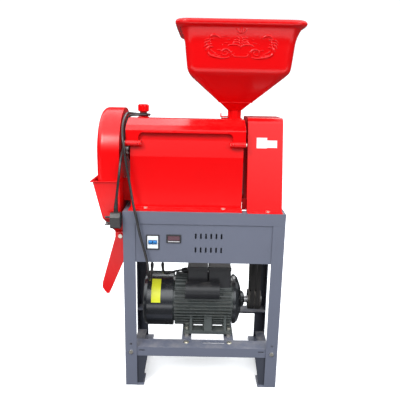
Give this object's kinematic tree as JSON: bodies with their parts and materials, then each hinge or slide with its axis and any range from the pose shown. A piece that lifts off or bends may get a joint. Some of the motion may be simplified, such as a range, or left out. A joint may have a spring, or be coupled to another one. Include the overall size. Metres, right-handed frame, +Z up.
{
  "type": "rice huller",
  "caption": "Motor-driven rice huller on an angle-bar stand: square feed hopper, ribbed milling roller under a hinged hood, winnowing fan with chute, guarded V-belt drive.",
  "frame": {"origin": "on the floor at the centre of the four anchor holes of the foot plates", "axes": "+X along the milling shaft towards the belt guard, +Y to the rear, +Z up"},
  "size_m": [0.6265, 0.3734, 1.1565],
  "materials": {
    "red_paint": "gloss red enamel on cast iron and sheet steel",
    "grey_paint": "satin blue-grey paint on welded steel angle",
    "zinc_steel": "zinc-plated fasteners",
    "bare_steel": "turned and rolled steel",
    "raw_iron": "machined cast iron",
    "fin_grey": "grey paint on the motor frame",
    "motor_black": "black paint on pressed steel",
    "black_plastic": "moulded black plastic",
    "white_plastic": "moulded white plastic",
    "blue_plastic": "moulded blue plastic",
    "meter_plastic": "dark red tinted plastic",
    "black_rubber": "rubber",
    "cord_rubber": "black PVC sheath"
  },
  "bodies": {
    "machine": {"base_plate": "red_paint", "bearing_housings": "raw_iron", "belt_guard": "red_paint", "breaker_body": "white_plastic", "cable_glands": "black_plastic", "capacitor_cover": "black_plastic", "case_bolts": "zinc_steel", "chamber_cap": "raw_iron", "chute_pivot": "zinc_steel", "control_panel": "grey_paint", "drive_belts": "black_rubber", "fan_cowl": "motor_black", "fan_housing": "red_paint", "feed_throat": "red_paint", "foot_plates": "grey_paint", "front_cover": "red_paint", "hood_pins": "zinc_steel", "hopper": "red_paint", "hopper_collar": "red_paint", "left_end_plate": "red_paint", "leg_front_left": "grey_paint", "leg_front_right": "grey_paint", "leg_gussets": "grey_paint", "leg_rear_left": "grey_paint", "leg_rear_right": "grey_paint", "mains_plug": "cord_rubber", "motor_bars": "grey_paint", "motor_bolts": "zinc_steel", "motor_boxes": "black_plastic", "motor_lead": "cord_rubber", "motor_rail_front": "grey_paint", "motor_rail_rear": "grey_paint", "motor_shields": "motor_black", "motor_stator": "fin_grey", "outlet_duct": "red_paint", "panel_meter": "meter_plastic", "power_cord": "cord_rubber", "rail_bolts": "zinc_steel", "rear_cover": "red_paint", "rice_funnel": "red_paint", "right_end_plate": "red_paint", "screen": "bare_steel", "side_rails": "grey_paint", "side_ties": "grey_paint", "top_rail_front": "grey_paint", "top_rail_rear": "grey_paint"},
    "mill_rotor": {"main_shaft": "bare_steel", "feed_screw": "raw_iron", "milling_roller": "raw_iron", "driven_pulley": "raw_iron", "fan_impeller": "red_paint"},
    "motor_rotor": {"motor_shaft": "bare_steel", "motor_pulley": "raw_iron", "motor_fan": "black_plastic"},
    "hood_body": {"hood": "red_paint"},
    "knob_body": {"pressure_knob": "red_paint"},
    "pressure_gate_body": {"pressure_gate": "raw_iron"},
    "feed_slide_body": {"feed_gate": "red_paint"},
    "chute_body": {"rice_chute": "red_paint"},
    "toggle_body": {"breaker_toggle": "blue_plastic"}
  },
  "joints": [
    {"name": "mill_shaft_spin", "type": "hinge", "parent": "machine", "child": "mill_rotor", "pos_m": [0, 0, 0.765], "axis": [1, 0, 0], "continuous": true},
    {"name": "motor_spin", "type": "hinge", "parent": "machine", "child": "motor_rotor", "pos_m": [0, 0, 0.244], "axis": [1, 0, 0], "continuous": true},
    {"name": "hood_hinge", "type": "hinge", "parent": "machine", "child": "hood_body", "pos_m": [0, -0.131, 0.806], "axis": [1, 0, 0], "range_deg": [0, 95]},
    {"name": "pressure_knob_turn", "type": "hinge", "parent": "machine", "child": "knob_body", "pos_m": [-0.204, 0.01, 0.879], "axis": [0, 0, -1], "range_deg": [0, 1080]},
    {"name": "pressure_gate_slide", "type": "slide", "parent": "machine", "child": "pressure_gate_body", "axis": [0, 0, -1], "range_m": [0, 0.006]},
    {"name": "feed_gate_slide", "type": "slide", "parent": "machine", "child": "feed_slide_body", "axis": [-1, 0, 0], "range_m": [0, 0.024]},
    {"name": "rice_chute_swing", "type": "hinge", "parent": "machine", "child": "chute_body", "pos_m": [-0.281, 0, 0.481], "axis": [0, 1, 0], "range_deg": [-12, 30]},
    {"name": "breaker_toggle_rock", "type": "hinge", "parent": "machine", "child": "toggle_body", "pos_m": [-0.158, -0.157, 0.50325], "axis": [1, 0, 0], "range_deg": [0, 50]}
  ],
  "couplings": [
    {"joint": "motor_spin", "follows": "mill_shaft_spin", "ratio": 2.6129},
    {"joint": "pressure_knob_turn", "follows": "pressure_gate_slide", "rad_per_m": 3141.5}
  ]
}
